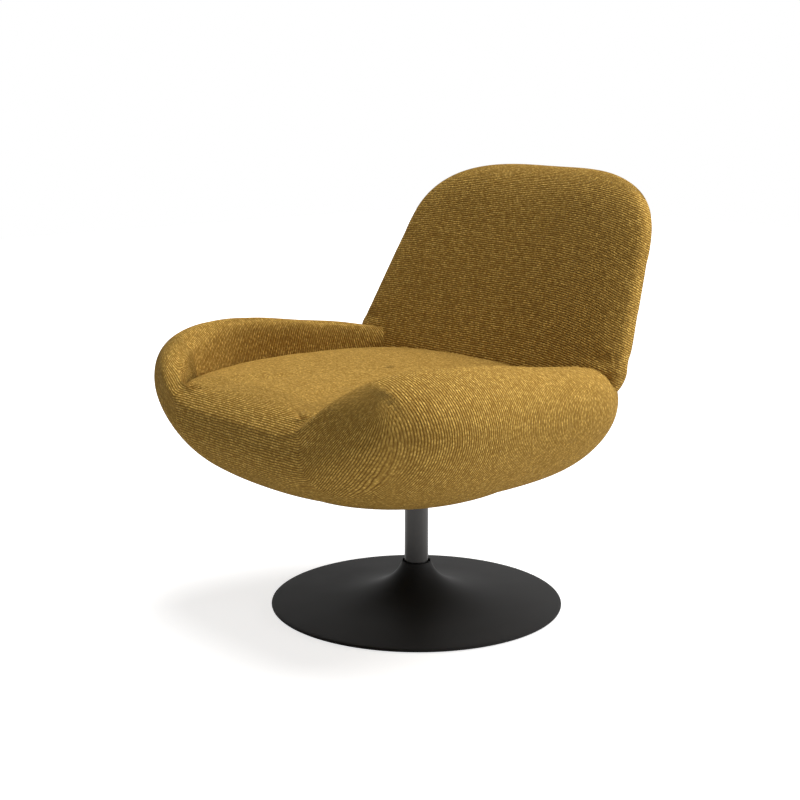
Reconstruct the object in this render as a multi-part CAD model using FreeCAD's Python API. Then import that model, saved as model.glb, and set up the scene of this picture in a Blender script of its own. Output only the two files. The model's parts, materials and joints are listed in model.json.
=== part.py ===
import FreeCAD, Part
import math
import os

from FreeCAD import Matrix, Placement, Rotation, Vector

# Pedestal swivel armchair: a spun trumpet base and a single column carry a padded bowl
# seat with low rounded arms, and a separate reclined back pad stands in its rear.
# Millimetres. The origin is on the floor under the column, +Z is up, the chair faces -Y
# and the sitter's left arm is on +X.

# driving dimensions of the base and column
BASE_RADIUS = 260.0
RIM_HEIGHT = 6.0
RIM_WIDTH = 4.0
MOUTH_HEIGHT = 78.0
MOUTH_RADIUS = 26.0
MOUTH_HOLE_RADIUS = 24.4
SKIRT_WALL = 1.5
FLARE = ((29, 69), (34, 60.5), (42, 51), (56, 40), (76, 29.5), (106, 20), (150, 13), (205, 9))
FELT_THICKNESS = 1.5
BASE_PLATE_THICKNESS = 3.0
FOOT_RADIUS = 110.0
FOOT_THICKNESS = 9.0
COLUMN_RADIUS = 21.2
COLUMN_WALL = 3.0
COLUMN_TOP = 194.0

# swivel bearing
SPINDLE_RADIUS = 12.5
RUNNING_CLEARANCE = 0.05
BUSH_LENGTH = 28.0
BUSH_FLANGE = 3.0
WASHER_THICKNESS = 1.5
BALL_RADIUS = 1.75
BALL_PLAY = 0.25
BALL_CIRCLE = 17.0
BALL_COUNT = 16
CAGE_THICKNESS = 1.6

# underside of the seat
SWIVEL_PLATE_SIZE = 160.0
SWIVEL_PLATE_THICKNESS = 5.0
BOLT_SPACING = 110.0
DUST_COVER_THICKNESS = 1.0
COVER_OPENING_RADIUS = 60.0
FABRIC = 3.0
BOARD_RADIUS = 118.0
BOARD_THICKNESS = 15.0
BOARD_CENTRE_Y = -8.0

# padded seat bowl, from the flat underside to the crown of the seat. Each outline is seen
# from above: half width, reach to the front, reach to the rear, squareness at the front
# and at the rear, and how much it widens forward
SEAT_UNDERSIDE = 226.0
UNDERSIDE_RADIUS = 136.0
UNDERSIDE_CENTRE_Y = -15.0
SEAT_CENTRE_Y = -62.0
SEAT_CROWN = 432.0
CROWN_RADIUS = 60.0
BELLY_HEIGHT = 266.0
BELLY_OUTLINE = (242.0, 233.0, 275.0, 2.1, 2.5, 0.1)
WIDEST_HEIGHT = 376.0
WIDEST_ARM_RISE = 24.0
WIDEST_REAR_DROP = 20.0
WIDEST_OUTLINE = (383.0, 349.0, 326.0, 2.5, 3.2, 0.1)
ARM_CREST = 493.0
FRONT_CREST = 422.0
REAR_CREST = 437.0
CREST_OUTLINE = (318.0, 345.0, 303.0, 2.7, 3.2, 0.08)
CREASE_HEIGHT = 406.0
FRONT_CREASE_RISE = 4.0
CREASE_OUTLINE = (284.0, 312.0, 278.0, 2.4, 2.6, 0.06)
ARM_START_DEG = 24.0
ARM_RISE_DEG = 34.0
ARM_FOAM_FRONT_DEG = 28
ARM_FOAM_REAR_DEG = 149
ARM_FOAM_LOW = 350.0
ARM_FOAM_STEP = 14.0
ARM_FOAM_REACH = 600.0

# padded back
RECLINE_DEG = 24.3
BACK_FOOT = Vector(0, 203, 440)
BACK_TOP = 356.0
BACK_BOTTOM = -112.0
BACK_BOTTOM_ROUNDING = 110.0
BACK_END_GAP = 1.5
COVER_FOOT_SECTION = 3
BACK_HALF_WIDTH_LOW = 339.0
BACK_HALF_WIDTH_TOP = 275.0
BACK_HALF_THICKNESS = 50.0
BACK_CORNER = 167.0
BACK_WRAP_LOW = 35.0
BACK_WRAP_TOP = 48.0

# steel tube frame inside the padding
TUBE_RADIUS = 10.0
TUBE_WALL = 2.0
LOOP_HEIGHT = 300.0
LOOP_HALF_WIDTH = 180.0
LOOP_FRONT = -235.0
LOOP_CORNER = 34.0
CROSS_TUBE_Y = (-92.0, 80.0)
BACK_FRAME_FOOT = 90.0
BACK_FRAME_HALF_WIDTH = 190.0
BACK_FRAME_TOP = 250.0
BACK_FRAME_SHIFT = 6.0
SPRING_WIRE_RADIUS = 1.75
SPRING_PLACES = (-136.0, -45.0, 45.0, 136.0)
SPRING_REACH = 17.0
SPRING_TURNS = 14

UP = Vector(0, 0, 1)
parts = {}


def cylinder(radius, low, high, x=0.0, y=0.0):
    return Part.makeCylinder(radius, high - low, Vector(x, y, low), UP)


def ring(outer, inner, low, high, x=0.0, y=0.0):
    return cylinder(outer, low, high, x, y).cut(cylinder(inner, low - 1, high + 1, x, y))


def box(low, high):
    size = Vector(*high) - Vector(*low)
    return Part.makeBox(size.x, size.y, size.z, Vector(*low))


def polygon_face(points):
    return Part.Face(Part.makePolygon(points + [points[0]]))


def rounded_rectangle(half_x, low_y, high_y, corner, z):
    """Closed wire of four straight runs and four quarter arcs."""
    edges = []
    corners = [(half_x, low_y, -90), (half_x, high_y, 0), (-half_x, high_y, 90), (-half_x, low_y, 180)]
    last = None
    for x, y, start in corners:
        centre = Vector(x - math.copysign(corner, x), y + (corner if y == low_y else -corner), z)
        arc = Part.ArcOfCircle(Part.Circle(centre, UP, corner), math.radians(start), math.radians(start + 90))
        edge = arc.toShape()
        if last is not None:
            edges.append(Part.LineSegment(last, edge.valueAt(edge.FirstParameter)).toShape())
        else:
            first = edge.valueAt(edge.FirstParameter)
        edges.append(edge)
        last = edge.valueAt(edge.LastParameter)
    edges.append(Part.LineSegment(last, first).toShape())
    return Part.Wire(Part.__sortEdges__(edges))


def bent_path(points, radius):
    """Open wire through the points, with a tangent arc at each inner one."""
    edges = []
    start = points[0]
    for before, corner, after in zip(points, points[1:], points[2:]):
        inward = (before - corner).normalize()
        onward = (after - corner).normalize()
        half = inward.getAngle(onward) / 2
        reach = radius / math.tan(half)
        first = corner + inward * reach
        last = corner + onward * reach
        bisector = (inward + onward).normalize()
        middle = corner + bisector * (radius / math.sin(half) - radius)
        edges.append(Part.LineSegment(start, first).toShape())
        edges.append(Part.Arc(first, middle, last).toShape())
        start = last
    edges.append(Part.LineSegment(start, points[-1]).toShape())
    return Part.Wire(edges)


def round_bar(path, radius):
    """Solid round bar swept along a path of lines and tangent arcs."""
    edge = path.OrderedEdges[0]
    start = edge.valueAt(edge.FirstParameter)
    along = edge.tangentAt(edge.FirstParameter)
    if edge.Orientation == "Reversed":
        start = edge.valueAt(edge.LastParameter)
        along = edge.tangentAt(edge.LastParameter) * -1
    section = Part.Wire(Part.makeCircle(radius, start, along))
    return path.makePipeShell([section], True, False)


# Seat bowl surface: the padding runs through a level outline at each height.
# An angle of 0 is the front of the seat, and it grows towards the sitter's left arm.
def outline_point(angle, outline, centre_y, height):
    half_width, front, rear, square_front, square_rear, widening = outline
    reach = front if math.cos(angle) > 0 else rear
    turned = smooth_step((abs(math.degrees(angle)) - 60) / 60)
    squareness = square_front + (square_rear - square_front) * turned
    across = abs(math.sin(angle)) / half_width
    along = abs(math.cos(angle)) / reach
    radius = (across ** squareness + along ** squareness) ** (-1 / squareness)
    x = radius * math.sin(angle) * (1 + widening * math.cos(angle))
    return Vector(x, centre_y - radius * math.cos(angle), height)


def smooth_step(value):
    value = min(max(value, 0.0), 1.0)
    return value * value * (3 - 2 * value)


def arm_share(angle):
    """0 at the front of the seat, 1 where the arm has risen."""
    return smooth_step((abs(math.degrees(angle)) - ARM_START_DEG) / ARM_RISE_DEG)


def seat_levels(angle):
    """The outline points that the padding passes through, and its direction at each."""
    away = Vector(math.sin(angle), -math.cos(angle), 0)
    turn = abs(math.degrees(angle))
    arm = arm_share(angle)
    flat = UNDERSIDE_RADIUS
    under = outline_point(angle, (flat, flat, flat, 2, 2, 0), UNDERSIDE_CENTRE_Y, SEAT_UNDERSIDE)
    belly = outline_point(angle, BELLY_OUTLINE, SEAT_CENTRE_Y, BELLY_HEIGHT)
    widest_height = WIDEST_HEIGHT + WIDEST_ARM_RISE * arm - WIDEST_REAR_DROP * smooth_step((turn - 60) / 80)
    widest = outline_point(angle, WIDEST_OUTLINE, SEAT_CENTRE_Y, widest_height)
    crest_height = FRONT_CREST + (ARM_CREST - FRONT_CREST) * arm
    crest_height -= (ARM_CREST - REAR_CREST) * smooth_step((turn - 82) / 72)
    crest = outline_point(angle, CREST_OUTLINE, SEAT_CENTRE_Y, crest_height)
    front_crease = FRONT_CREST + FRONT_CREASE_RISE
    crease_height = front_crease + (CREASE_HEIGHT - front_crease) * arm
    crease = outline_point(angle, CREASE_OUTLINE, SEAT_CENTRE_Y, crease_height)
    rise = UP * min(168, 1.9 * (crest_height - widest_height))
    crown = Vector(0, SEAT_CENTRE_Y, SEAT_CROWN) + away * CROWN_RADIUS
    return [
        (under, away * 150, away * 165 + UP * 50),
        (belly, away * 195 + UP * 58, away * 195 + UP * 58),
        (widest, UP * 168, rise),
        (crest, away * -110, away * -70),
        (crease, away * -35 - UP * 90 * arm, away * -200 + UP * (20 + 70 * arm)),
        (crown, away * -200, away * -200),
    ]


def seat_point(angle, level):
    """A point of the padding: level 0 is the underside, 5 the crown, whole numbers the outlines."""
    levels = seat_levels(angle)
    index = min(int(level), len(levels) - 2)
    t = level - index
    start, _, leaving = levels[index]
    end, arriving, _ = levels[index + 1]
    if index == 0:
        leaving = levels[0][1]
        arriving = levels[0][2]
    return (
        start * (2 * t ** 3 - 3 * t ** 2 + 1)
        + leaving * (t ** 3 - 2 * t ** 2 + t)
        + end * (3 * t ** 2 - 2 * t ** 3)
        + arriving * (t ** 3 - t ** 2)
    )


def seat_inward(angle, level):
    step = 0.01
    around = seat_point(angle + step, level) - seat_point(angle - step, level)
    low = max(level - step, 0.0)
    high = min(level + step, 5.0)
    upward = seat_point(angle, high) - seat_point(angle, low)
    return upward.cross(around).normalize()


SEAT_RINGS = (0.5, 1.0, 1.35, 1.7, 2.0, 2.35, 2.7, 3.0, 3.35, 3.7, 4.0, 4.4)
RING_POINTS = 40


def closed_curve(points):
    curve = Part.BSplineCurve()
    curve.interpolate(Points=points, PeriodicFlag=True)
    return Part.Wire(curve.toShape())


def seat_wires(inset):
    """Level outlines of the padded bowl, drawn in by the inset on every side."""
    under = Vector(0, UNDERSIDE_CENTRE_Y, SEAT_UNDERSIDE + inset)
    wires = [Part.Wire(Part.makeCircle(UNDERSIDE_RADIUS - inset, under, UP, -90, 270))]
    for level in SEAT_RINGS:
        points = []
        for i in range(RING_POINTS):
            angle = 2 * math.pi * i / RING_POINTS
            signed = angle if angle <= math.pi else angle - 2 * math.pi
            points.append(seat_point(signed, level) + seat_inward(signed, level) * inset)
        wires.append(closed_curve(points))
    crown = Vector(0, SEAT_CENTRE_Y, SEAT_CROWN - inset)
    wires.append(Part.Wire(Part.makeCircle(CROWN_RADIUS, crown, UP, -90, 270)))
    return wires


def cover_between(outer_wires, inner_wires):
    """Sewn cover: an outer and an inner skin, joined round the opening at their first wires."""
    faces = []
    for wires in (outer_wires, inner_wires):
        faces += Part.makeLoft(wires, False, True).Faces
        faces.append(Part.Face(wires[-1]))
    faces += Part.makeLoft([outer_wires[0], inner_wires[0]], False, True).Faces
    shell = Part.makeShell(faces)
    shell.sewShape()
    return Part.makeSolid(shell)


# Back pad: level sections along its reclined spine.
# A place on the back is x across, s up the spine and n out of its front face.
def back_place(x, s, n):
    lean = math.radians(RECLINE_DEG)
    rise = Vector(0, math.sin(lean), math.cos(lean)) * s
    front = Vector(0, -math.cos(lean), math.sin(lean)) * n
    return BACK_FOOT + Vector(x, 0, 0) + rise + front


def back_section(s, inset, lift):
    """Level outline of the back at s, drawn in by the inset and lifted along the spine."""
    top_share = min(max((s - BACK_TOP + BACK_CORNER) / BACK_CORNER, 0), 1)
    low_share = min(max((BACK_BOTTOM + BACK_BOTTOM_ROUNDING - s) / BACK_BOTTOM_ROUNDING, 0), 1)
    width = BACK_HALF_WIDTH_LOW + (BACK_HALF_WIDTH_TOP - BACK_HALF_WIDTH_LOW) * s / BACK_TOP
    width *= (1 - top_share ** 2.9) ** (1 / 2.8) * (1 - low_share ** 2.2) ** (1 / 2.2)
    half = BACK_HALF_THICKNESS * (1 - top_share ** 5.5) ** 0.5 * (1 - low_share ** 3) ** 0.5
    wrap = BACK_WRAP_LOW + (BACK_WRAP_TOP - BACK_WRAP_LOW) * min(max(s / BACK_TOP, 0), 1)
    count = 36
    points = []
    for i in range(count):
        angle = 2 * math.pi * (i + 0.5) / count
        across = math.copysign(abs(math.cos(angle)) ** (2 / 2.6), math.cos(angle))
        depth = math.copysign(abs(math.sin(angle)) ** (2 / 2.6), math.sin(angle))
        x = (width - inset) * across
        points.append(back_place(x, s + lift, (half - inset) * depth + wrap * (x / 300) ** 2))
    return closed_curve(points)


def back_wires(inset):
    low = BACK_BOTTOM + BACK_END_GAP
    places = [low, low + 6, low + 17, low + 33, low + 56, low + 84]
    places += [30, 90, 145, 190, 230, 265, 294, 316, 333, 344, BACK_TOP - BACK_END_GAP]
    lifts = [inset] + [0] * (len(places) - 2) + [-inset]
    return [back_section(s, inset, lift) for s, lift in zip(places, lifts)]


def back_foot_level():
    """How far down the back's spine the seat's tube loop crosses it."""
    return (LOOP_HEIGHT - BACK_FOOT.z) / math.cos(math.radians(RECLINE_DEG))


def loop_rear():
    """The loop's rear run lies under the back's spine."""
    return back_place(0, back_foot_level(), 0).y


def back_prism(outline, low_n, high_n):
    """Prism across the back: its outline is in x and s, its thickness from low_n to high_n."""
    face = polygon_face([back_place(x, s, low_n) for x, s in outline])
    return face.extrude(back_place(0, 0, high_n) - back_place(0, 0, low_n))


# Base: felt sheet, steel plate, column foot, column and the spun skirt over them
def make_base():
    plate_top = FELT_THICKNESS + BASE_PLATE_THICKNESS
    foot_top = plate_top + FOOT_THICKNESS
    parts["floor_felt"] = cylinder(BASE_RADIUS - 10, 0, FELT_THICKNESS)

    plate = cylinder(BASE_RADIUS - SKIRT_WALL - 2.2, FELT_THICKNESS, plate_top)
    foot = ring(FOOT_RADIUS, COLUMN_RADIUS, plate_top, foot_top)
    bolts = []
    for i in range(4):
        turn = math.radians(45 + 90 * i)
        x = 80 * math.cos(turn)
        y = 80 * math.sin(turn)
        head = Part.makeCone(7.5, 4.0, BASE_PLATE_THICKNESS, Vector(x, y, FELT_THICKNESS), UP)
        seat = Part.makeCone(7.8, 4.3, BASE_PLATE_THICKNESS, Vector(x, y, FELT_THICKNESS), UP)
        socket = cylinder(2.5, FELT_THICKNESS - 1, FELT_THICKNESS + 2, x, y)
        bolts.append(head.fuse(cylinder(4.0, plate_top, foot_top - 1, x, y)).cut(socket))
        plate = plate.cut(seat)
        foot = foot.cut(cylinder(4.2, plate_top - 1, foot_top + 1, x, y))
    parts["base_plate"] = plate
    parts["column_foot"] = foot
    parts["base_bolts"] = Part.makeCompound(bolts)

    inner = COLUMN_RADIUS - COLUMN_WALL
    parts["column_tube"] = ring(COLUMN_RADIUS, inner, plate_top, COLUMN_TOP)
    parts["column_weld"] = Part.makeCone(
        COLUMN_RADIUS + 5, COLUMN_RADIUS, 5, Vector(0, 0, foot_top), UP
    ).cut(cylinder(COLUMN_RADIUS, foot_top - 1, foot_top + 6))

    # the skirt's outside, from the mouth to the rim: radius and height
    flare = ((MOUTH_RADIUS, MOUTH_HEIGHT),) + FLARE + ((BASE_RADIUS - RIM_WIDTH, RIM_HEIGHT),)
    outside = [Vector(r, 0, z) for r, z in flare]
    inside = []
    neighbours = zip([outside[0]] + outside, outside, outside[1:] + [outside[-1]])
    for before, here, after in neighbours:
        along = (after - before).normalize()
        inside.append(here + Vector(along.z, 0, -along.x) * SKIRT_WALL)
    inside[0] = Vector(MOUTH_RADIUS - SKIRT_WALL, 0, MOUTH_HEIGHT)
    outer_curve = Part.BSplineCurve()
    outer_curve.interpolate(outside)
    inner_curve = Part.BSplineCurve()
    inner_curve.interpolate(inside)
    rim_top = outside[-1]
    rim_side = Vector(BASE_RADIUS, 0, RIM_HEIGHT / 2 + 0.6)
    rim_low = Vector(BASE_RADIUS - 1.2, 0, 1.2)
    lip = Vector(BASE_RADIUS - SKIRT_WALL - 1.6, 0, 1.2)
    shoulder = Vector(BASE_RADIUS - SKIRT_WALL - 1.6, 0, plate_top + 0.05)
    corner = Vector(BASE_RADIUS - 1.1, 0, RIM_HEIGHT - 0.9)
    low_corner = Vector(BASE_RADIUS - 0.3, 0, 1.8)
    profile = Part.Wire([
        outer_curve.toShape(),
        Part.Arc(rim_top, corner, rim_side).toShape(),
        Part.Arc(rim_side, low_corner, rim_low).toShape(),
        Part.LineSegment(rim_low, lip).toShape(),
        Part.LineSegment(lip, shoulder).toShape(),
        Part.LineSegment(shoulder, inside[-1]).toShape(),
        inner_curve.toShape(),
        Part.LineSegment(inside[0], outside[0]).toShape(),
    ])
    skirt = Part.Face(profile).revolve(Vector(0, 0, 0), UP, 360)
    parts["base_skirt"] = skirt
    parts["mouth_ring"] = ring(MOUTH_HOLE_RADIUS - 0.4, COLUMN_RADIUS + 0.1, 66, 72)


# Swivel: two bushes in the column carry the spindle, a caged ball race carries the weight
def make_swivel():
    bore = COLUMN_RADIUS - COLUMN_WALL
    shaft = SPINDLE_RADIUS + RUNNING_CLEARANCE
    lower_low = 62.0
    parts["lower_bush"] = ring(bore, shaft, lower_low, lower_low + BUSH_LENGTH)
    flange_top = COLUMN_TOP + BUSH_FLANGE
    sleeve = ring(bore, shaft, COLUMN_TOP - BUSH_LENGTH, flange_top)
    parts["upper_bush"] = sleeve.fuse(ring(COLUMN_RADIUS, shaft, COLUMN_TOP, flange_top)).removeSplitter()

    race_low = flange_top + WASHER_THICKNESS
    race_high = race_low + 2 * BALL_RADIUS + 2 * BALL_PLAY
    middle = (race_low + race_high) / 2
    parts["lower_race"] = ring(COLUMN_RADIUS - 0.4, SPINDLE_RADIUS + 0.5, flange_top, race_low)
    half_cage = CAGE_THICKNESS / 2
    cage = ring(COLUMN_RADIUS - 0.7, SPINDLE_RADIUS + 0.7, middle - half_cage, middle + half_cage)
    balls = []
    for i in range(BALL_COUNT):
        turn = 2 * math.pi * i / BALL_COUNT
        centre = Vector(BALL_CIRCLE * math.cos(turn), BALL_CIRCLE * math.sin(turn), middle)
        balls.append(Part.makeSphere(BALL_RADIUS, centre))
        cage = cage.cut(cylinder(BALL_RADIUS + 0.1, middle - 3, middle + 3, centre.x, centre.y))
    parts["ball_cage"] = cage
    parts["race_balls"] = Part.makeCompound(balls)
    hub_low = race_high + WASHER_THICKNESS
    parts["upper_race"] = ring(COLUMN_RADIUS - 0.4, SPINDLE_RADIUS + 0.5, race_high, hub_low)

    plate_low = SEAT_UNDERSIDE - DUST_COVER_THICKNESS - SWIVEL_PLATE_THICKNESS
    plate_high = plate_low + SWIVEL_PLATE_THICKNESS
    hub = ring(28, SPINDLE_RADIUS, hub_low, plate_low)
    skirt = ring(28, COLUMN_RADIUS + 1.2, COLUMN_TOP - 8, hub_low)
    parts["swivel_hub"] = hub.fuse(skirt).removeSplitter()

    clip_low = lower_low - 4.6
    groove = ring(SPINDLE_RADIUS + 1, SPINDLE_RADIUS - 1.2, clip_low, clip_low + 1.5)
    spindle = cylinder(SPINDLE_RADIUS, clip_low - 6, plate_high)
    parts["spindle"] = spindle.cut(groove)
    clip = ring(SPINDLE_RADIUS + 2.6, SPINDLE_RADIUS - 1.2, clip_low, clip_low + 1.5)
    parts["spindle_clip"] = clip.cut(box((0, -4, clip_low - 1), (20, 4, clip_low + 3)))
    washer_low = clip_low + 1.5
    parts["spindle_washer"] = ring(bore - 0.6, SPINDLE_RADIUS + 0.2, washer_low, washer_low + 2.4)

    half = SWIVEL_PLATE_SIZE / 2
    wire = rounded_rectangle(half, -half, half, 20, plate_low)
    plate = Part.Face(wire).extrude(UP * SWIVEL_PLATE_THICKNESS)
    plate = plate.cut(cylinder(SPINDLE_RADIUS, plate_low - 1, plate_high + 1))
    bolts = []
    washers = []
    nuts = []
    board_low = SEAT_UNDERSIDE + FABRIC
    board_high = board_low + BOARD_THICKNESS
    board = cylinder(BOARD_RADIUS, board_low, board_high, 0, BOARD_CENTRE_Y)
    for x, y in bolt_places():
        plate = plate.cut(cylinder(4.5, plate_low - 1, plate_high + 1, x, y))
        washers.append(ring(8, 4.3, plate_low - 1.6, plate_low, x, y))
        corners = []
        for i in range(6):
            turn = math.radians(60 * i)
            corners.append(Vector(x + 7.5 * math.cos(turn), y + 7.5 * math.sin(turn), plate_low - 6.9))
        head = polygon_face(corners).extrude(UP * 5.3)
        bolts.append(head.fuse(cylinder(4.0, plate_low - 1.6, board_high - 1, x, y)))
        barrel = ring(5.4, 4.1, board_low + 3, board_high, x, y)
        nuts.append(barrel.fuse(ring(11, 4.1, board_high, board_high + 1.5, x, y)))
        board = board.cut(cylinder(5.5, board_low - 1, board_high + 1, x, y))
    parts["swivel_plate"] = plate
    parts["plate_bolts"] = Part.makeCompound(bolts)
    parts["plate_washers"] = Part.makeCompound(washers)
    parts["board_nuts"] = Part.makeCompound(nuts)
    parts["seat_board"] = board
    dust = ring(BOARD_RADIUS + 8, 34, plate_high, SEAT_UNDERSIDE)
    for x, y in bolt_places():
        dust = dust.cut(cylinder(4.5, plate_high - 1, SEAT_UNDERSIDE + 1, x, y))
    parts["dust_cover"] = dust


def bolt_places():
    half = BOLT_SPACING / 2
    return [(half, half), (-half, half), (-half, -half), (half, -half)]


# Frame: a tube loop on two bent cross tubes, and an upright tube hoop in the back
def tube(path):
    return round_bar(path, TUBE_RADIUS).cut(round_bar(path, TUBE_RADIUS - TUBE_WALL))


def make_frame():
    loop = rounded_rectangle(LOOP_HALF_WIDTH, LOOP_FRONT, loop_rear(), LOOP_CORNER, LOOP_HEIGHT)
    loop_bar = round_bar(loop, TUBE_RADIUS)
    parts["seat_loop"] = loop_bar.cut(round_bar(loop, TUBE_RADIUS - TUBE_WALL))

    board_top = SEAT_UNDERSIDE + FABRIC + BOARD_THICKNESS
    low = board_top + TUBE_RADIUS
    saddles = []
    screws = []
    for name, y in zip(("front_cross_tube", "rear_cross_tube"), CROSS_TUBE_Y):
        end = LOOP_HALF_WIDTH
        corners = [(-end, LOOP_HEIGHT), (-82, low), (82, low), (end, LOOP_HEIGHT)]
        path = bent_path([Vector(x, y, z) for x, z in corners], 45)
        parts[name] = tube(path).cut(loop_bar)
        for x in (-30.0, 30.0):
            outer = TUBE_RADIUS + 1.5
            bore = TUBE_RADIUS + 0.05
            across = Vector(1, 0, 0)
            band = box((x - 10, y - outer, board_top), (x + 10, y + outer, low))
            arch = Part.makeCylinder(outer, 20, Vector(x - 10, y, low), across)
            ears = box((x - 10, y - 22, board_top), (x + 10, y + 22, board_top + 1.5))
            saddle = band.fuse(arch).fuse(ears)
            saddle = saddle.cut(Part.makeCylinder(bore, 22, Vector(x - 11, y, low), across))
            inside = box((x - 11, y - bore, board_top - 1), (x + 11, y + bore, low))
            under = box((x - 12, y - 30, board_top - 5), (x + 12, y + 30, board_top))
            saddle = saddle.cut(inside).cut(under).removeSplitter()
            for side in (-17.0, 17.0):
                saddle = saddle.cut(cylinder(2.3, board_top - 1, board_top + 3, x, y + side))
                head = cylinder(4.2, board_top + 1.5, board_top + 4, x, y + side)
                screws.append(head.fuse(cylinder(2.0, board_top - 12, board_top + 1.5, x, y + side)))
                hole = cylinder(2.1, board_top - 13, board_top + 1, x, y + side)
                parts["seat_board"] = parts["seat_board"].cut(hole)
            saddles.append(saddle)
    parts["tube_saddles"] = Part.makeCompound(saddles)
    parts["saddle_screws"] = Part.makeCompound(screws)

    foot_s = back_foot_level()
    shift = BACK_FRAME_SHIFT
    foot = BACK_FRAME_FOOT
    wide = BACK_FRAME_HALF_WIDTH
    hoop_points = [(-foot, foot_s), (-foot, foot_s + 70), (-wide, 10), (-wide, BACK_FRAME_TOP)]
    hoop_points += [(-x, s) for x, s in reversed(hoop_points)]
    hoop = bent_path([back_place(x, s, shift) for x, s in hoop_points], 38)
    parts["back_hoop"] = tube(hoop).cut(loop_bar)
    plates = []
    bolts = []
    for x in (-foot, foot):
        low_s = foot_s - 12
        high_s = foot_s + 62
        outline = [(x - 16, low_s), (x + 16, low_s), (x + 16, high_s), (x - 16, high_s)]
        plate = back_prism(outline, shift + TUBE_RADIUS + 0.2, shift + TUBE_RADIUS + 4.2)
        for s in (foot_s + 24, foot_s + 48):
            along = (back_place(0, 0, 1) - back_place(0, 0, 0)).normalize()
            shank = Part.makeCylinder(3.0, 32, back_place(x, s, shift - TUBE_RADIUS - 5), along)
            head = Part.makeCylinder(5.5, 4, back_place(x, s, shift + TUBE_RADIUS + 4.2), along)
            nut = Part.makeCylinder(5.5, 4, back_place(x, s, shift - TUBE_RADIUS - 4.5), along)
            hole = Part.makeCylinder(3.2, 60, back_place(x, s, shift - 30), along)
            plate = plate.cut(hole)
            parts["back_hoop"] = parts["back_hoop"].cut(hole)
            bolts.append(head.fuse(shank).fuse(nut))
        plates.append(plate)
    parts["back_plates"] = Part.makeCompound(plates)
    parts["back_bolts"] = Part.makeCompound(bolts)

    straps = []
    inner = TUBE_RADIUS + 0.3
    for s in (40.0, 100.0, 160.0, 215.0):
        layers = []
        for wall in (inner + 1.4, inner):
            outline = [(-wide, s - 22), (wide, s - 22), (wide, s + 22), (-wide, s + 22)]
            middle = back_prism(outline, shift - wall, shift + wall)
            rise = (back_place(0, 1, 0) - back_place(0, 0, 0)).normalize()
            ends = [Part.makeCylinder(wall, 44, back_place(x, s - 22, shift), rise) for x in (-wide, wide)]
            layers.append(middle.fuse(ends[0]).fuse(ends[1]).removeSplitter())
        straps.append(layers[0].cut(layers[1]))
    parts["back_straps"] = Part.makeCompound(straps)


# Zigzag springs between the front and the rear of the loop, hooked in folded clips
def make_springs():
    height = LOOP_HEIGHT + TUBE_RADIUS + 3.7
    springs = []
    clips = []
    rear = loop_rear()
    low = LOOP_FRONT
    pitch = (rear - LOOP_FRONT) / SPRING_TURNS
    for x in SPRING_PLACES:
        points = []
        for i in range(SPRING_TURNS + 1):
            side = SPRING_REACH if i % 2 else -SPRING_REACH
            points.append(Vector(x - side, low + i * pitch, height))
            points.append(Vector(x + side, low + i * pitch, height))
        springs.append(round_bar(bent_path(points, pitch * 0.4), SPRING_WIRE_RADIUS))
        for y, out in ((LOOP_FRONT, -1), (rear, 1)):
            body = box((x - 7, y - 3.6, height - 3.6), (x + 7, y + 3.6, height + 3.6))
            slot = box((x - 8, y - 2.1, height - 2.1), (x + 8, y + 2.1, height + 2.1))
            mouth_low = min(y, y - out * 5)
            mouth = box((x - 8, mouth_low, height - 2.1), (x + 8, mouth_low + 5, height + 2.1))
            clips.append(body.cut(slot).cut(mouth))
    parts["seat_springs"] = Part.makeCompound(springs)
    parts["spring_clips"] = Part.makeCompound(clips)


# Padding: a foam seat block, two foam arms and a foam back, each under a sewn cover
def frame_space():
    """The hollow in the foam that the board, tubes, springs and straps lie in."""
    board_low = SEAT_UNDERSIDE + FABRIC - 1
    board_high = SEAT_UNDERSIDE + FABRIC + BOARD_THICKNESS
    board = cylinder(BOARD_RADIUS + 1, board_low, board_high + 0.5, 0, BOARD_CENTRE_Y)
    outline = rounded_rectangle(
        LOOP_HALF_WIDTH + TUBE_RADIUS + 1.5,
        LOOP_FRONT - TUBE_RADIUS - 1.5,
        loop_rear() + TUBE_RADIUS + 1.5,
        LOOP_CORNER + TUBE_RADIUS,
        LOOP_HEIGHT - TUBE_RADIUS - 2,
    )
    tray = Part.Face(outline).extrude(UP * 34)
    slope = LOOP_HALF_WIDTH + 8
    ends = (CROSS_TUBE_Y[0] - 26, CROSS_TUBE_Y[1] + 26)
    trough = polygon_face([
        Vector(-104, ends[0], board_high),
        Vector(104, ends[0], board_high),
        Vector(slope, ends[0], LOOP_HEIGHT - 18),
        Vector(slope, ends[0], LOOP_HEIGHT),
        Vector(-slope, ends[0], LOOP_HEIGHT),
        Vector(-slope, ends[0], LOOP_HEIGHT - 18),
    ]).extrude(Vector(0, ends[1] - ends[0], 0))
    foot_s = back_foot_level()
    narrow = BACK_FRAME_FOOT + 32
    wide = BACK_FRAME_HALF_WIDTH + 13
    top = BACK_FRAME_TOP + 12
    outline = [(-narrow, foot_s - 14), (narrow, foot_s - 14), (narrow, foot_s + 66), (wide, 0)]
    outline += [(wide, top), (-wide, top), (-wide, 0), (-narrow, foot_s + 66)]
    upright = back_prism(outline, BACK_FRAME_SHIFT - 15, BACK_FRAME_SHIFT + 18.5)
    return board.fuse(tray).fuse(trough).fuse(upright)


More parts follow.
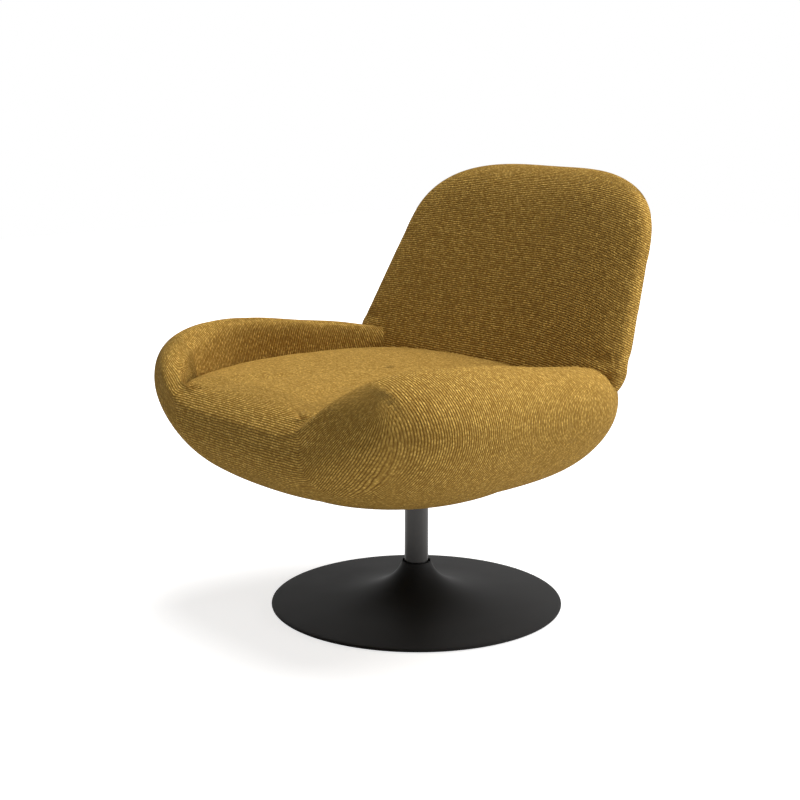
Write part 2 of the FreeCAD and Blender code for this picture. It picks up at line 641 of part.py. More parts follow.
def arm_block(side):
    """Everything outside the crease between the seat panel and one arm."""
    crease = []
    for turn in range(ARM_FOAM_FRONT_DEG, ARM_FOAM_REAR_DEG + 1, 11):
        angle = side * math.radians(turn)
        point = seat_point(angle, 4.0)
        away = Vector(math.sin(angle), -math.cos(angle), 0)
        crease.append(Vector(point.x, point.y, ARM_FOAM_LOW) + away * ARM_FOAM_STEP)
    curve = Part.BSplineCurve()
    curve.interpolate(crease)
    reach = ARM_FOAM_REACH
    corners = [(crease[-1].x, reach), (reach * side, reach), (reach * side, -reach), (crease[0].x, -reach)]
    outer = [crease[-1]] + [Vector(x, y, ARM_FOAM_LOW) for x, y in corners] + [crease[0]]
    wire = Part.Wire([curve.toShape()] + Part.makePolygon(outer).Edges)
    return Part.Face(wire).extrude(UP * (ARM_CREST - ARM_FOAM_LOW + 57))


def make_padding():
    inside = Part.makeLoft(seat_wires(FABRIC), True, True)
    back_outside = Part.makeLoft(back_wires(0), True, True)
    back_inside = Part.makeLoft(back_wires(FABRIC), True, True)
    space = frame_space()
    opening = []
    for height in (SEAT_UNDERSIDE, SEAT_UNDERSIDE + FABRIC):
        opening.append(Part.Wire(Part.makeCircle(COVER_OPENING_RADIUS, Vector(0, 0, height), UP, -90, 270)))
    cover = cover_between([opening[0]] + seat_wires(0), [opening[1]] + seat_wires(FABRIC))
    cover = cover.cut(back_outside)
    for x, y in bolt_places():
        cover = cover.cut(cylinder(4.5, SEAT_UNDERSIDE - 1, SEAT_UNDERSIDE + FABRIC + 1, x, y))
    parts["seat_cover"] = cover
    foot = COVER_FOOT_SECTION
    parts["back_cover"] = cover_between(back_wires(0)[foot:], back_wires(FABRIC)[foot:])
    foam = inside.cut(back_outside).cut(space)
    for name, side in (("left_arm_foam", 1), ("right_arm_foam", -1)):
        block = arm_block(side)
        parts[name] = foam.common(block)
        foam = foam.cut(block)
    parts["seat_foam"] = foam
    parts["back_foam"] = back_inside.cut(space)


make_base()
make_swivel()
make_frame()
make_springs()
make_padding()

os.makedirs("parts", exist_ok=True)
for name, shape in parts.items():
    print(name, shape.isValid(), len(shape.Solids), round(shape.Volume / 1000, 1))
    shape.exportStep("parts/" + name + ".step")
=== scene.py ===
# Pedestal swivel armchair: a mustard bowl seat with soft arms and a reclined back pad, on a
# slim dark steel column and a wide, thin, matt black trumpet base.
import json
import math

import bmesh
import bpy
import numpy as np
from mathutils import Matrix, Vector


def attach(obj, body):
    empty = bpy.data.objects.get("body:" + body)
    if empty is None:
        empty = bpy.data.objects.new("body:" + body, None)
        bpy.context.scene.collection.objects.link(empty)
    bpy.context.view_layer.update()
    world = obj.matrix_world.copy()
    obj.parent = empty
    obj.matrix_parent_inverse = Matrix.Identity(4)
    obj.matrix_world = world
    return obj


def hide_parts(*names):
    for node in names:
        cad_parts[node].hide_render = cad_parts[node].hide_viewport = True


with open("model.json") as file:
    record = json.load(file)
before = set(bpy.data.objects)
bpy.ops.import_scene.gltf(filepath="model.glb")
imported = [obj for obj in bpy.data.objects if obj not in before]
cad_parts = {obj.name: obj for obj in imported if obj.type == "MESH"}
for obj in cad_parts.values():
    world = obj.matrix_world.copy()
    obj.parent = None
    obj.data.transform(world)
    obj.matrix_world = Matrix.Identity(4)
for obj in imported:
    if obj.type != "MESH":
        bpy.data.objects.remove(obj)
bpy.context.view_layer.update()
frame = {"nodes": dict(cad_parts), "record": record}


# Seat upholstery: one sewn cover pulled over the moulded foam bowl and its two arms.
# A wool weave with coarse ribs that run from side to side. It is drawn into the creases
# beside the arms by a hidden cord, and stapled to the board under the seat.
SEAT_CENTRE_Y = -62.0
SEAT_CROWN = 432.0
CROWN_RADIUS = 60.0
CROWN_RING_RISE = 1.0
CROWN_POINT_RISE = 1.3
UNDERSIDE_CENTRE_Y = -15.0
UNDERSIDE_HEIGHT = 226.0
# level outlines of the bowl: half width, reach in front and behind, squareness in front and
# behind, and the share by which the outline is wider in front
UNDERSIDE = (132.0, 165.0, 118.0, 2.0, 2.0, 0.0)
BELLY = (237.0, 226.0, 280.0, 2.4, 2.8, 0.0)
WIDEST = (384.0, 333.0, 322.0, 3.25, 3.1, 0.07)
BELLY_HEIGHT = 259.0
BELLY_RISE_BEHIND = 5.0
WIDEST_HEIGHT = 367.0
WIDEST_RISE_AT_ARM = 52.0
WIDEST_FALL_BEHIND = 22.0
# degrees from the front, reach and height of the arm's crest, reach and height of the crease
ARM_LINE = (
    (0, 315, 405, 258, 424), (14, 327, 404, 274, 423), (24, 350, 401, 320, 415),
    (29, 371, 409, 363, 407), (34, 379, 448, 358, 405), (40, 373, 472, 345, 404),
    (47, 358, 492, 330, 404), (56, 342, 500, 317, 404), (68, 324, 500, 306, 404),
    (82, 313, 493, 297, 404), (97, 310, 481, 292, 404), (113, 326, 470, 300, 404),
    (132, 344, 449, 305, 404), (150, 332, 433, 296, 404), (180, 306, 434, 283, 404),
)
ARM_LINE_ROUNDING = 4
# degrees from the front between which each of these sets in or fades out
SQUARENESS_CHANGES = (60, 120)
ARM_SETS_IN = (21, 33)
ARM_END_FADES = (48, 74)
WIDEST_RISES = (20, 54)
WIDEST_FALLS = (60, 140)
CREASE_SETS_IN = (22, 29)
SIDE_FULLNESS = 168.0
ARM_END_FULLNESS = 60.0
STEEPEST_SIDE = 1.9
CREASE_DEPTH = 5.0
CREASE_HALF_WIDTH = 5.0
CREASE_LEVEL = 4
PANEL_EDGE_INSET = 26.0
PANEL_EDGE_RISE = 3.0
PANEL_EDGE_RISE_AT_ARM = 12.0
SEAT_COLUMNS = 288
SEAT_LEVEL_STEPS = (12, 20, 24, 20, 14, 26)


def smooth_step(value, start=0.0, end=1.0):
    """0 up to start, 1 from end on, and a smooth climb between the two."""
    value = np.clip((value - start) / (end - start), 0.0, 1.0)
    return value * value * (3 - 2 * value)


def outline(angle, shape, centre_y, height):
    """Points of a level outline of the bowl, at these angles from the front."""
    half_width, front, rear, square_front, square_rear, widening = shape
    reach = np.where(np.cos(angle) > 0, front, rear)
    behind = smooth_step(abs(np.degrees(angle)), *SQUARENESS_CHANGES)
    squareness = square_front + (square_rear - square_front) * behind
    across = abs(np.sin(angle)) / half_width
    along = abs(np.cos(angle)) / reach
    radius = (across**squareness + along**squareness) ** (-1 / squareness)
    x = radius * np.sin(angle) * (1 + widening * np.cos(angle))
    return np.stack([x, centre_y - radius * np.cos(angle), height + 0 * angle], -1)


def arm_line(turn):
    """Reach and height of the crest and of the crease at these turns, rounded a little."""
    degrees, *columns = zip(*ARM_LINE)
    steps = np.linspace(-ARM_LINE_ROUNDING, ARM_LINE_ROUNDING, 9)
    for values in columns:
        yield sum(np.interp(abs(turn + step), degrees, values) for step in steps)[..., None] / len(steps)


def curve_between(start, end, leaving, arriving, share):
    """The point this share of the way along a smooth curve from start to end."""
    point = start * (2 * share**3 - 3 * share**2 + 1) + leaving * (share**3 - 2 * share**2 + share)
    return point + end * (3 * share**2 - 2 * share**3) + arriving * (share**3 - share**2)


def seat_surface(angle, level):
    """Outer surface of the bowl at these angles from the front.

    Level 0 is the outline of the underside, 1 the belly, 2 the widest outline, 3 the arm's
    crest, 4 the crease, 5 the rolled edge of the seat panel and 6 a ring round the crown.
    """
    turn = abs(np.degrees(angle))
    arm = smooth_step(turn, *ARM_SETS_IN)[..., None]
    blunt = 1 - smooth_step(turn, *ARM_END_FADES)[..., None]
    away = np.stack([np.sin(angle), -np.cos(angle), 0 * angle], -1)
    up = np.array([0.0, 0.0, 1.0])
    middle = np.array([0.0, SEAT_CENTRE_Y, 0.0])
    under = outline(angle, UNDERSIDE, UNDERSIDE_CENTRE_Y, UNDERSIDE_HEIGHT)
    belly_height = BELLY_HEIGHT + BELLY_RISE_BEHIND * smooth_step(turn, 0, 180)
    belly = outline(angle, BELLY, SEAT_CENTRE_Y, belly_height)
    widest_height = WIDEST_HEIGHT + WIDEST_RISE_AT_ARM * smooth_step(turn, *WIDEST_RISES)
    widest_height = widest_height - WIDEST_FALL_BEHIND * smooth_step(turn, *WIDEST_FALLS)
    widest = outline(angle, WIDEST, SEAT_CENTRE_Y, widest_height)
    crest_reach, crest_height, crease_reach, crease_height = arm_line(turn)
    crest = middle + away * crest_reach + up * crest_height
    crease = middle + away * crease_reach + up * crease_height
    edge_height = crease_height + PANEL_EDGE_RISE + PANEL_EDGE_RISE_AT_ARM * arm
    edge = middle + away * (crease_reach - PANEL_EDGE_INSET) + up * edge_height
    crown = away * CROWN_RADIUS + np.array([0.0, SEAT_CENTRE_Y, SEAT_CROWN])
    side_height = crest_height - widest_height[..., None]
    side_rise = np.minimum(SIDE_FULLNESS + ARM_END_FULLNESS * blunt, STEEPEST_SIDE * side_height)

    def pull(outward, upward):
        return away * outward + up * upward

    # from each line to the next, with the cover's pull where it leaves and where it arrives
    spans = (
        (under, belly, pull(150, 0), pull(165, 50)),
        (belly, widest, pull(195, 58), pull(0, SIDE_FULLNESS)),
        (widest, crest, pull(0, side_rise), pull(-52 - (58 - 40 * blunt) * arm, 50 * (1 - arm))),
        (crest, crease, pull(-50 - 10 * arm, 46 * (1 - arm)), pull(-60 + 45 * arm, 6 - 106 * arm)),
        (crease, edge, pull(-30 + 15 * arm, 6 + 30 * arm), pull(-34, 3 + 2 * arm)),
        (edge, crown, pull(-200, 16 + 12 * arm), pull(-200, 0)),
    )
    made = np.zeros(angle.shape + (3,))
    for number, span in enumerate(spans):
        within = (level >= number) & ((level < number + 1) | (number == len(spans) - 1))
        share = np.clip(level - number, 0, 1)[..., None]
        made[within] = curve_between(*span, share)[within]
    return made


def grid_faces(rows, columns):
    """Quads of a grid that closes on itself along its columns."""
    row, column = np.meshgrid(np.arange(rows - 1), np.arange(columns), indexing="ij")
    here = row * columns + column
    beside = row * columns + (column + 1) % columns
    return np.stack([here, beside, beside + columns, here + columns], -1).reshape(-1, 4).tolist()


def mesh_piece(name, points, faces, material=None):
    """A mesh object at the origin from points in millimetres."""
    mesh = bpy.data.meshes.new(name)
    mesh.from_pydata((np.asarray(points, float) / 1000).tolist(), [], faces)
    mesh.update()
    piece = bpy.data.objects.new(name, mesh)
    bpy.context.scene.collection.objects.link(piece)
    shell = bmesh.new()
    shell.from_mesh(mesh)
    bmesh.ops.remove_doubles(shell, verts=shell.verts, dist=1e-6)
    bmesh.ops.recalc_face_normals(shell, faces=shell.faces)
    shell.to_mesh(mesh)
    shell.free()
    mesh.shade_smooth()
    if material is not None:
        mesh.materials.append(material)
    return piece


levels = np.concatenate(
    [number + np.arange(steps) / steps for number, steps in enumerate(SEAT_LEVEL_STEPS)] + [[6.0]]
)
turns = np.linspace(-math.pi, math.pi, SEAT_COLUMNS, endpoint=False)
level_grid, turn_grid = np.meshgrid(levels, turns, indexing="ij")
bowl = seat_surface(turn_grid, level_grid)
run = np.linalg.norm(np.diff(bowl, axis=0), axis=-1)
run = np.concatenate([np.zeros((1, SEAT_COLUMNS)), np.cumsum(run, axis=0)])
crease_row = int(np.argmin(abs(levels - CREASE_LEVEL)))
from_crease = abs(run - run[crease_row])
drawn_in = smooth_step(abs(np.degrees(turn_grid)), *CREASE_SETS_IN)
bowl[..., 2] -= CREASE_DEPTH * drawn_in * np.exp(-((from_crease / CREASE_HALF_WIDTH) ** 2))
under_middle = np.array([0, UNDERSIDE_CENTRE_Y, UNDERSIDE_HEIGHT])
crown_middle = np.array([0, SEAT_CENTRE_Y, SEAT_CROWN + CROWN_RING_RISE])
crown_point = np.array([0, SEAT_CENTRE_Y, SEAT_CROWN + CROWN_POINT_RISE])
under_rows = [bowl[0] + (under_middle - bowl[0]) * share for share in (0.75, 0.5, 0.25)]
crown_rows = [bowl[-1] + (crown_middle - bowl[-1]) * share for share in (0.3, 0.6, 0.85)]
seat_rows = under_rows + list(bowl) + crown_rows
seat_points = np.concatenate(seat_rows + [[crown_point, under_middle]])
seat_faces = grid_faces(len(seat_rows), SEAT_COLUMNS)
crown_number = len(seat_rows) * SEAT_COLUMNS
last_ring = crown_number - SEAT_COLUMNS
for column in range(SEAT_COLUMNS):
    beside = (column + 1) % SEAT_COLUMNS
    seat_faces.append([last_ring + column, last_ring + beside, crown_number])
    seat_faces.append([beside, column, crown_number + 1])
seat_upholstery = mesh_piece("seat_upholstery", seat_points, seat_faces)

# Rows of the weave: they run from side to side over the seat, round its nose and below it,
# climb with the arm's front, stand upright down the arm's outer side, and lie level behind
NOSE_Y = -300.0
NOSE_Z = 372.0
NOSE_RADIUS = 88.0
ROW_LEAN = 0.15
ROW_CLIMB = 0.9
ROW_CLIMB_STARTS_AT_X = 175
ROW_CLIMB_SETS_IN_AT_Y = (-290, -330)
REAR_FROM_TURN = 100
REAR_FROM_REACH = 240
SIDE_SETS_IN_AT_TURN = (46, 55)
SIDE_FADES_AT_TURN = (145, 127)
SIDE_SETS_IN_AT_REACH = (150, 210)


def points_of(mesh):
    """The points of a mesh, in metres."""
    found = np.zeros(len(mesh.vertices) * 3, np.float32)
    mesh.vertices.foreach_get("co", found)
    return found.reshape(-1, 3)


def turn_and_reach(points):
    """Degrees from the front, and distance from the bowl's middle, of each point."""
    turn = np.degrees(np.arctan2(abs(points[:, 0]), SEAT_CENTRE_Y - points[:, 1]))
    return turn, np.hypot(points[:, 0], points[:, 1] - SEAT_CENTRE_Y)


def seat_rows_at(points):
    """How far along the cloth each point lies, across the ribs, in millimetres."""
    y = points[:, 1] - NOSE_Y
    climb = ROW_CLIMB * np.maximum(0, abs(points[:, 0]) - ROW_CLIMB_STARTS_AT_X)
    z = points[:, 2] - NOSE_Z - climb * smooth_step(points[:, 1], *ROW_CLIMB_SETS_IN_AT_Y)
    y = y + ROW_LEAN * (points[:, 2] - NOSE_Z)
    rows = NOSE_RADIUS * np.arctan2(-y, z)
    rows = np.where((y >= 0) & (z > 0), -y, rows)
    rows = np.where((y >= 0) & (z <= 0), NOSE_RADIUS * math.pi + y, rows)
    turn, reach = turn_and_reach(points)
    return np.where((turn > REAR_FROM_TURN) & (reach > REAR_FROM_REACH), -points[:, 2], rows)


def side_rows_at(points):
    """The same for the arm's outer side, where the rows stand upright."""
    return -(points[:, 1] - NOSE_Y) - ROW_LEAN * (points[:, 2] - NOSE_Z)


def side_share_at(points):
    """How much of the cloth at each point is the outer side's."""
    turn, reach = turn_and_reach(points)
    past_front = smooth_step(turn, *SIDE_SETS_IN_AT_TURN)
    outside = smooth_step(reach, *SIDE_SETS_IN_AT_REACH)
    return past_front * outside * smooth_step(turn, *SIDE_FADES_AT_TURN)


def lay_rows(piece, rows, side_rows, side_share):
    """Stores the rows of the weave on a piece, for its cloth to read."""
    for name, values in (("rows", rows), ("side_rows", side_rows), ("side_share", side_share)):
        made = piece.data.attributes.new(name, "FLOAT", "POINT")
        made.data.foreach_set("value", np.asarray(values, np.float32))


at = points_of(seat_upholstery.data) * 1000.0
lay_rows(seat_upholstery, seat_rows_at(at), side_rows_at(at), side_share_at(at))

# Stuffing: foam presses the cover outwards, except where it is stapled or sunk in the bowl
COVER_CLOTH = {
    "quality": 5, "mass": 0.4, "tension_stiffness": 25, "compression_stiffness": 25,
    "shear_stiffness": 8, "bending_stiffness": 2, "use_pressure": True,
    "uniform_pressure_force": 4, "vertex_group_mass": "held",
}
SWELL_STEPS = 20
LARGEST_SWELL = 0.004
SEAT_HELD_BELOW = 232


def stuff_with_foam(piece, held):
    """Swells the cover between the points where it is held, and no further than it may."""
    rest = points_of(piece.data)
    group = piece.vertex_groups.new(name="held")
    group.add(np.flatnonzero(held).tolist(), 1.0, "REPLACE")
    cloth = piece.modifiers.new("cover", "CLOTH")
    for name, value in COVER_CLOTH.items():
        setattr(cloth.settings, name, value)
    cloth.settings.effector_weights.gravity = 0
    cloth.collision_settings.use_collision = False
    cloth.point_cache.frame_end = SWELL_STEPS
    for step in range(SWELL_STEPS):
        bpy.context.scene.frame_set(step + 1)
    posed = piece.evaluated_get(bpy.context.evaluated_depsgraph_get())
    shift = points_of(posed.data) - rest
    length = np.linalg.norm(shift, axis=1, keepdims=True)
    shift *= np.minimum(1, LARGEST_SWELL / np.maximum(length, 1e-9))
    piece.modifiers.remove(cloth)
    piece.vertex_groups.clear()
    piece.data.vertices.foreach_set("co", (rest + shift).ravel())
    piece.data.update()
    bpy.context.scene.frame_set(1)


def smooth_over(piece):
    smoothing = piece.modifiers.new("smoothing", "SUBSURF")
    smoothing.levels = 1
    smoothing.render_levels = 1


stuff_with_foam(seat_upholstery, at[:, 2] < SEAT_HELD_BELOW)
smooth_over(seat_upholstery)


def node(tree, kind, inputs=None, **settings):
    """A shader node with these settings, and these values or links in its inputs."""
    made = tree.nodes.new(kind)
    for key, value in settings.items():
        setattr(made, key, value)
    for key, value in (inputs or {}).items():
        if isinstance(value, bpy.types.NodeSocket):
            tree.links.new(value, made.inputs[key])
        else:
            made.inputs[key].default_value = value
    return made


def math_node(tree, operation, *values):
    return node(tree, "ShaderNodeMath", dict(enumerate(values)), operation=operation).outputs[0]


def scaled(tree, place, scale):
    inputs = {0: place, "Scale": scale}
    return node(tree, "ShaderNodeVectorMath", inputs, operation="SCALE").outputs[0]


def noise(tree, place, scale, detail):
    inputs = {"Vector": place, "Scale": scale, "Detail": detail}
    return node(tree, "ShaderNodeTexNoise", inputs).outputs["Fac"]


def map_range(tree, value, given_range, wanted_range, kind="LINEAR"):
    """The value brought from the first range to the second, and kept within its ends."""
    names = ("Value", "From Min", "From Max", "To Min", "To Max")
    inputs = dict(zip(names, (value, *given_range, *wanted_range)))
    return node(tree, "ShaderNodeMapRange", inputs, interpolation_type=kind).outputs[0]


# Ribbed wool weave: thick weft yarn packed into rows, each row a string of uneven lumps
ROW_WANDER = 2.5
ROW_WANDER_SCALE = 0.045
LUMPS_SHIFT_BY_ROW = (7.31, 3.17, 5.73)
LUMP_UNEVENNESS = 0.9
LUMP_EDGE = (0.12, 0.75)
LUMP_SHARE = 0.6
FUZZ_SCALE = 0.9
FUZZ_SHARE = 0.16

weave = bpy.data.node_groups.new("ribbed_weave", "ShaderNodeTree")
for name, kind in (("Rows", "NodeSocketFloat"), ("Place", "NodeSocketVector")):
    weave.interface.new_socket(name, in_out="INPUT", socket_type=kind)
for name, value in (("Row Pitch", 4.0), ("Lump Length", 6.6)):
    weave.interface.new_socket(name, in_out="INPUT", socket_type="NodeSocketFloat").default_value = value
for name in ("Height", "Lump Shade", "Gap Shade", "Fuzz"):
    weave.interface.new_socket(name, in_out="OUTPUT", socket_type="NodeSocketFloat")
given = weave.nodes.new("NodeGroupInput")
result = weave.nodes.new("NodeGroupOutput")
millimetres = scaled(weave, given.outputs["Place"], 1000.0)
wander = noise(weave, millimetres, ROW_WANDER_SCALE, 1.0)
shifted = math_node(weave, "MULTIPLY_ADD", wander, ROW_WANDER, given.outputs["Rows"])
ticks = math_node(weave, "DIVIDE", shifted, given.outputs["Row Pitch"])
number = math_node(weave, "FLOOR", ticks)
phase = math_node(weave, "FRACT", ticks)
across = math_node(weave, "SINE", math_node(weave, "MULTIPLY", phase, math.pi))
jumps = [math_node(weave, "MULTIPLY", number, shift) for shift in LUMPS_SHIFT_BY_ROW]
jump = node(weave, "ShaderNodeCombineXYZ", dict(enumerate(jumps))).outputs[0]
lumps_per_length = math_node(weave, "DIVIDE", 1.0, given.outputs["Lump Length"])
in_lumps = {0: scaled(weave, millimetres, lumps_per_length), 1: jump}
strung = node(weave, "ShaderNodeVectorMath", in_lumps, operation="ADD").outputs[0]
cell_inputs = {"Vector": strung, "Scale": 1.0, "Randomness": LUMP_UNEVENNESS}
cells = node(weave, "ShaderNodeTexVoronoi", cell_inputs)
lump = map_range(weave, cells.outputs["Distance"], LUMP_EDGE, (1.0, 0.0), "SMOOTHSTEP")
lumpy = math_node(weave, "MULTIPLY_ADD", lump, LUMP_SHARE, 1 - LUMP_SHARE)
body = math_node(weave, "MULTIPLY", across, lumpy)
fuzz = noise(weave, millimetres, FUZZ_SCALE, 2.0)
shade = node(weave, "ShaderNodeSeparateColor", {0: cells.outputs["Color"]}).outputs[0]
weave.links.new(math_node(weave, "MULTIPLY_ADD", fuzz, FUZZ_SHARE, body), result.inputs["Height"])
weave.links.new(shade, result.inputs["Lump Shade"])
# painted shade mask: 1 deep in the gaps between rows and between lumps, 0 on the yarn tops
weave.links.new(math_node(weave, "SUBTRACT", 1.0, body), result.inputs["Gap Shade"])
weave.links.new(fuzz, result.inputs["Fuzz"])

# Mustard cloth: the weave laid twice, for the front and for the arm's outer side, with painted shade
# darkening the gaps between the rows and lumps
ROW_PITCH = 3.9
LUMP_LENGTH = 5.8
YARN_DARK = (0.6, 0.36, 0.075, 1)
YARN_LIGHT = (0.9, 0.575, 0.142, 1)
# painted shade: the cloth is darkened towards this colour in the gaps between the rows and lumps, where
# shade falls
GAP_SHADE_COLOUR = (0.13, 0.055, 0.008, 1)
GAP_SHADE_SHARE = 0.92
RIB_HEIGHT = 0.0016


def new_material(name):
    made = bpy.data.materials.new(name)
    made.use_nodes = True
    made.node_tree.nodes.clear()
    shader = made.node_tree.nodes.new("ShaderNodeBsdfPrincipled")
    end = made.node_tree.nodes.new("ShaderNodeOutputMaterial")
    made.node_tree.links.new(shader.outputs[0], end.inputs["Surface"])
    return made, made.node_tree, shader


def place_on(tree):
    return tree.nodes.new("ShaderNodeTexCoord").outputs["Object"]


def mix_colour(tree, share, first, second):
    return node(tree, "ShaderNodeMix", {0: share, 6: first, 7: second}, data_type="RGBA").outputs[2]


mustard_cloth, tree, shader = new_material("mustard_cloth")
place = place_on(tree)
side_share = node(tree, "ShaderNodeAttribute", attribute_name="side_share").outputs["Fac"]
laid = []
for attribute in ("rows", "side_rows"):
    rows = node(tree, "ShaderNodeAttribute", attribute_name=attribute).outputs["Fac"]
    inputs = {"Rows": rows, "Place": place, "Row Pitch": ROW_PITCH, "Lump Length": LUMP_LENGTH}
    laid.append(node(tree, "ShaderNodeGroup", inputs, node_tree=weave).outputs)


def blend_of(output):
    """The front's and the outer side's weave, each where it is laid."""
    inputs = {0: side_share, 2: laid[0][output], 3: laid[1][output]}
    return node(tree, "ShaderNodeMix", inputs).outputs[0]


yarn = mix_colour(tree, blend_of("Lump Shade"), YARN_DARK, YARN_LIGHT)
# painted shade in the gaps, laid over the yarn's own colour
gap_shade = math_node(tree, "MULTIPLY", blend_of("Gap Shade"), GAP_SHADE_SHARE)
tree.links.new(mix_colour(tree, gap_shade, yarn, GAP_SHADE_COLOUR), shader.inputs["Base Color"])
shader.inputs["Roughness"].default_value = 0.95
shader.inputs["Specular IOR Level"].default_value = 0.06
bump_inputs = {"Height": blend_of("Height"), "Strength": 1.0, "Distance": RIB_HEIGHT}
tree.links.new(node(tree, "ShaderNodeBump", bump_inputs).outputs[0], shader.inputs["Normal"])
seat_upholstery.data.materials.append(mustard_cloth)
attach(seat_upholstery, "seat")
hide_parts("seat_cover", "seat_foam", "left_arm_foam", "right_arm_foam")


# Back upholstery: a separate moulded foam pad round a steel hoop, in the same ribbed cloth.
# Its ribs lie level across the pad. It stands in the rear of the bowl, leaning back.
RECLINE = math.radians(24.3)
BACK_MIDDLE_Y = 203.0
BACK_MIDDLE_Z = 440.0
# lengths up the back's spine from there, and the rounding of its two ends
BACK_TOP = 356.0
BACK_LOW = -112.0
BACK_TOP_ROUNDING = 167.0
BACK_LOW_ROUNDING = 110.0
BACK_LOW_HALF_WIDTH = 339.0
BACK_TOP_HALF_WIDTH = 275.0
BACK_HALF_THICKNESS = 50.0
BACK_SQUARENESS = 2.6
# how far the pad wraps forwards at the wrap's reach from its middle, and what its top adds
BACK_WRAP = 35.0
BACK_WRAP_ADDED = 13.0
BACK_WRAP_FOR_ROWS = 41.0
BACK_WRAP_REACH = 300.0
ROW_CURL = 30.0
ROW_CURL_STARTS_AT_X = 60.0
ROW_CURL_REACH = 240.0
BACK_HELD_BELOW = 370
BACK_RING = 168
BACK_BODY_STEPS = 36
BACK_END_STEPS = 26


def back_point(x, up_spine, out_of_face):
    """A place on the back: x across, then up its spine, and out of its front face."""
    y = BACK_MIDDLE_Y + math.sin(RECLINE) * up_spine - math.cos(RECLINE) * out_of_face
    z = BACK_MIDDLE_Z + math.cos(RECLINE) * up_spine + math.sin(RECLINE) * out_of_face
    return np.stack([x, y, z], -1)


def left_by_rounding(share, power, root):
    """What is left of a size, this share of the way into a rounded end."""
    return (1 - share**power) ** (1 / root)


def squared_off(wave):
    return np.sign(wave) * abs(wave) ** (2 / BACK_SQUARENESS)


end_turn = np.linspace(0, math.pi / 2, BACK_END_STEPS + 1)
low_end = BACK_LOW + BACK_LOW_ROUNDING * (1 - np.sin(end_turn[::-1]))
top_end = BACK_TOP - BACK_TOP_ROUNDING + BACK_TOP_ROUNDING * np.sin(end_turn)
between_ends = np.linspace(low_end[-1], top_end[0], BACK_BODY_STEPS + 1)
spine = np.concatenate([low_end[:-1], between_ends[:-1], top_end])
low_share = np.clip((BACK_LOW + BACK_LOW_ROUNDING - spine) / BACK_LOW_ROUNDING, 0, 1)
top_share = np.clip((spine - BACK_TOP + BACK_TOP_ROUNDING) / BACK_TOP_ROUNDING, 0, 1)
width = BACK_LOW_HALF_WIDTH + (BACK_TOP_HALF_WIDTH - BACK_LOW_HALF_WIDTH) * spine / BACK_TOP
width = width * left_by_rounding(top_share, 2.9, 2.8) * left_by_rounding(low_share, 2.2, 2.2)
half = BACK_HALF_THICKNESS * left_by_rounding(top_share, 5.5, 2) * left_by_rounding(low_share, 3, 2)
wrap = BACK_WRAP + BACK_WRAP_ADDED * np.clip(spine / BACK_TOP, 0, 1)
round_turn = 2 * math.pi * (np.arange(BACK_RING) + 0.5) / BACK_RING
x = width[:, None] * squared_off(np.cos(round_turn))
out = half[:, None] * squared_off(np.sin(round_turn)) + wrap[:, None] * (x / BACK_WRAP_REACH) ** 2
back_points = back_point(x, spine[:, None] + 0 * x, out).reshape(-1, 3)
back_upholstery = mesh_piece("back_upholstery", back_points, grid_faces(len(spine), BACK_RING))

at = points_of(back_upholstery.data) * 1000.0
y = at[:, 1] - BACK_MIDDLE_Y
z = at[:, 2] - BACK_MIDDLE_Z
up_spine = y * math.sin(RECLINE) + z * math.cos(RECLINE)
out_of_face = z * math.sin(RECLINE) - y * math.cos(RECLINE)
out_of_face = abs(out_of_face - BACK_WRAP_FOR_ROWS * (at[:, 0] / BACK_WRAP_REACH) ** 2)
past_flat = np.maximum(up_spine - BACK_TOP + BACK_HALF_THICKNESS, 0)
over_top = BACK_HALF_THICKNESS * np.arctan2(past_flat, np.maximum(out_of_face, 1))
curled = ROW_CURL * np.clip((at[:, 0] - ROW_CURL_STARTS_AT_X) / ROW_CURL_REACH, 0, 2) ** 2
rows = np.minimum(up_spine, BACK_TOP - BACK_HALF_THICKNESS) + over_top + curled
lay_rows(back_upholstery, rows, np.zeros(len(at)), np.zeros(len(at)))
stuff_with_foam(back_upholstery, at[:, 2] < BACK_HELD_BELOW)
smooth_over(back_upholstery)
back_upholstery.data.materials.append(mustard_cloth)
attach(back_upholstery, "seat")
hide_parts("back_cover", "back_foam")


# Trumpet base: a steel disc spun into a flare, with a rolled rim round the base plate.
# Matt black powder coat with a fine orange-peel surface. Its profile is given as radius and
# height, from the mouth out to the rim, and from there back inside.
FLARE = (
    (24.4, 76.6), (25.2, 77.9), (26.4, 77.4), (27.4, 74), (29, 69), (34, 60.5), (42, 51),
    (56, 40), (76, 29.5), (106, 20), (150, 13), (205, 9), (240, 7), (254, 6.1), (258.6, 5.2),
    (260, 3.6), (259.7, 2), (258.4, 1.3),
)
FLARE_INSIDE = (
    (258.0, 1.3), (256.9, 1.6), (256.9, 4.4), (240, 5.4), (205, 7.5), (150, 11.5), (106, 18.5),
    (76, 28), (56, 38.4), (42, 49.2), (33, 59), (27.4, 68.5), (25, 74.5), (24.4, 76.6),
)
FLARE_PARTS = 4
SKIRT_COLUMNS = 192
COAT_GRAIN = 900.0
COAT_GRAIN_DEPTH = 0.00004


def turned(name, profile, columns, material):
    """A body of revolution about the column's axis, from its profile's radii and heights."""
    angle = np.linspace(0, 2 * math.pi, columns, endpoint=False)
    profile = np.asarray(profile, float)
    x = profile[:, :1] * np.cos(angle)
    y = profile[:, :1] * np.sin(angle)
    z = profile[:, 1:] + 0 * x
    points = np.stack([x, y, z], -1).reshape(-1, 3)
    return mesh_piece(name, points, grid_faces(len(profile), columns), material)


def eased(points, parts):
    """More points on a smooth curve through these."""
    points = np.asarray(points, float)
    before = np.concatenate([[2 * points[0] - points[1]], points[:-1]])
    after = np.concatenate([points[1:], [2 * points[-1] - points[-2]]])
    slope = (after - before) / 2
    made = []
    for span in zip(points[:-1], points[1:], slope[:-1], slope[1:]):
        for share in np.arange(parts) / parts:
            made.append(curve_between(*span, share))
    return np.array(made + [points[-1]])


